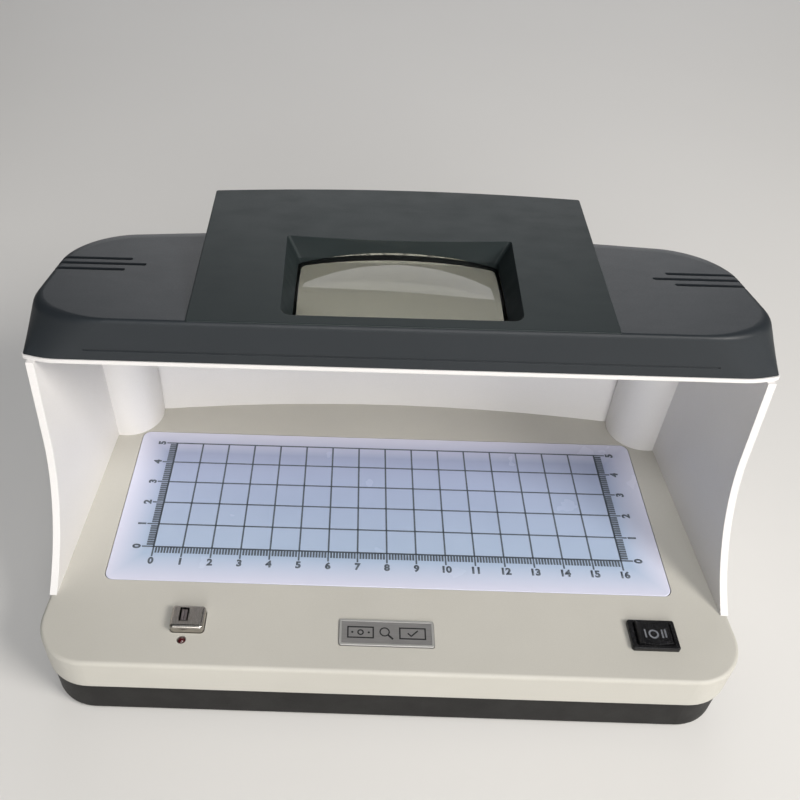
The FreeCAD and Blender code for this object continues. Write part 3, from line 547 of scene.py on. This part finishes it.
def add_ruler_print(materials):
    """The centimetre grid, the millimetre rulers on three sides and their numbers."""
    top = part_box("light_panel")[1].z
    z0 = top - INK_SINK
    z1 = top + INK_T
    right = GRID_LEFT + CELLS_X * CELL
    back = GRID_FRONT + CELLS_Y * CELL
    half = LINE_W / 2
    lines = [(GRID_LEFT + i * CELL - half, GRID_LEFT + i * CELL + half, GRID_FRONT, back)
             for i in range(CELLS_X + 1)]
    lines += [(GRID_LEFT, right, GRID_FRONT + i * CELL - half, GRID_FRONT + i * CELL + half)
              for i in range(CELLS_Y + 1)]
    ticks = []
    for i in range(CELLS_X * 10 + 1):
        x = GRID_LEFT + i * MM
        w, reach = (half, CM_TICK_L) if i % 10 == 0 else (FINE_TICK_W / 2, FINE_TICK_L)
        ticks.append((x - w, x + w, GRID_FRONT - reach, GRID_FRONT))
    for i in range(CELLS_Y * 10 + 1):
        y = GRID_FRONT + i * MM
        w, reach = (half, CM_TICK_L) if i % 10 == 0 else (SIDE_TICK_W / 2, FINE_TICK_L)
        ticks.append((GRID_LEFT - reach, GRID_LEFT, y - w, y + w))
        ticks.append((right, right + reach, y - w, y + w))
    numbers = [(str(i), GRID_LEFT + i * CELL, GRID_FRONT - DIGIT_GAP, 0) for i in range(CELLS_X + 1)]
    for i in range(CELLS_Y + 1):
        y = GRID_FRONT + i * CELL
        numbers.append((str(i), GRID_LEFT - DIGIT_GAP, y, SIDE_DIGIT_TURN))
        numbers.append((str(i), right + DIGIT_GAP, y, SIDE_DIGIT_TURN))
    dark = materials["print_dark"]
    add_piece("grid_lines", bars_mesh("grid_lines", lines, z0, z1), dark, "housing")
    add_piece("ruler_ticks", bars_mesh("ruler_ticks", ticks, z0, z1), dark, "housing")
    add_piece("ruler_numbers", numbers_mesh("ruler_numbers", numbers, z1), dark, "housing")


def round_points(x, y, radius, steps):
    """Points evenly spaced on a circle."""
    turns = [2 * math.pi * i / steps for i in range(steps)]
    return [(x + radius * math.cos(a), y + radius * math.sin(a), 0) for a in turns]


def ring_faces(bm, x, y, radius, width):
    """A flat ring, width metres wide, within a circle."""
    inner = [bm.verts.new(p) for p in round_points(x, y, radius - width, RING_STEPS)]
    outer = [bm.verts.new(p) for p in round_points(x, y, radius, RING_STEPS)]
    for i in range(RING_STEPS):
        j = (i + 1) % RING_STEPS
        bm.faces.new((inner[i], outer[i], outer[j], inner[j]))


def disc_faces(bm, x, y, radius):
    bm.faces.new([bm.verts.new(p) for p in round_points(x, y, radius, DISC_STEPS)])


def stroke_faces(bm, x, y, ends, width):
    """A straight stroke between two ends, given from the point x, y.

    It is cut into short pieces so that it can follow a curved face.
    """
    start, end = [Vector((x + dx, y + dy, 0)) for dx, dy in ends]
    side = (end - start).normalized().cross(Vector((0, 0, 1))) * width / 2
    rows = []
    for i in range(STROKE_STEPS + 1):
        p = start.lerp(end, i / STROKE_STEPS)
        rows.append((bm.verts.new(p - side), bm.verts.new(p + side)))
    for a, b in zip(rows, rows[1:]):
        bm.faces.new((a[0], a[1], b[1], b[0]))


def frame_faces(bm, x, y, half_x, half_y, width):
    """A rectangular outline."""
    tall = half_y + width / 2
    for sign in (-1, 1):
        stroke_faces(bm, x, y, ((-half_x, sign * half_y), (half_x, sign * half_y)), width)
        stroke_faces(bm, x, y, ((sign * half_x, -tall), (sign * half_x, tall)), width)


def draped_mesh(name, bm, node):
    """Drop flat ink straight down onto a CAD node's face, and give it its thickness."""
    tree = BVHTree.FromObject(nodes[node], bpy.context.evaluated_depsgraph_get())
    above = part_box(node)[1].z + 10 * MM
    for v in bm.verts:
        hit = tree.ray_cast(Vector((v.co.x, v.co.y, above)), Vector((0, 0, -1)))[0]
        v.co.z = hit.z + INK_T
    bmesh.ops.recalc_face_normals(bm, faces=bm.faces)
    thickened(bm, INK_T + INK_SINK)
    mesh = bpy.data.meshes.new(name)
    bm.to_mesh(mesh)
    bm.free()
    return mesh


def middle_of(node):
    low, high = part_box(node)
    return (low + high) / 2


def add_badge_pictogram():
    """Generic signs in place of words: a note, a lens, and a note with a tick."""
    centre = middle_of("badge_plate")
    note_x = centre.x - NOTE_X
    ticked_x = centre.x + NOTE_X
    bm = bmesh.new()
    for x in (note_x, ticked_x):
        frame_faces(bm, x, centre.y, NOTE_HALF_X, NOTE_HALF_Y, NOTE_LINE)
    ring_faces(bm, note_x, centre.y, NOTE_RING_R, NOTE_LINE)
    for side in (-1, 1):
        disc_faces(bm, note_x + side * NOTE_SPOT_X, centre.y, NOTE_SPOT_R)
    ring_faces(bm, centre.x + LENS_X, centre.y + LENS_Y, LENS_R, LENS_LINE)
    stroke_faces(bm, centre.x, centre.y, HANDLE_ENDS, HANDLE_LINE)
    for ends in (TICK_DOWN_ENDS, TICK_UP_ENDS):
        stroke_faces(bm, ticked_x, centre.y, ends, TICK_LINE)
    mesh = draped_mesh("badge_pictogram", bm, "badge_plate")
    add_piece("badge_pictogram", mesh, ink("badge_ink", (0.016, 0.016, 0.018)), "housing")


def add_rocker_marks(materials):
    """I, O and II on the rocker's hollow face."""
    centre = middle_of("rocker_button")
    bm = bmesh.new()
    for x in (ONE_X, *TWO_XS):
        stroke_faces(bm, centre.x, centre.y, ((x, -STROKE_HALF), (x, STROKE_HALF)), STROKE_LINE)
    ring_faces(bm, centre.x, centre.y, ZERO_R, ZERO_LINE)
    mesh = draped_mesh("rocker_marks", bm, "rocker_button")
    add_piece("rocker_marks", mesh, materials["print_light"], "rocker")


# --- the floor, and the whole scene -----------------------------------------------------------

def add_floor():
    """A pale round table top, level with the foot of the object's box."""
    s = Shader("floor", Roughness=0.6)
    s.drive("Base Color", s.mix(s.noise(0.3, 3.0), (0.70, 0.69, 0.67), (0.76, 0.75, 0.73)))
    bm = bmesh.new()
    bmesh.ops.create_circle(bm, cap_ends=True, radius=FLOOR_RADIUS, segments=96)
    mesh = bpy.data.meshes.new("floor")
    bm.to_mesh(mesh)
    bm.free()
    mesh.materials.append(s.material)
    floor = bpy.data.objects.new("floor", mesh)
    floor.location.z = CAD_BOX[0][2]
    bpy.context.scene.collection.objects.link(floor)


def main():
    add_camera()
    add_lights()
    materials = finishes()
    dress_cad_nodes(materials)
    add_ruler_print(materials)
    add_badge_pictogram()
    add_rocker_marks(materials)
    add_floor()


main()
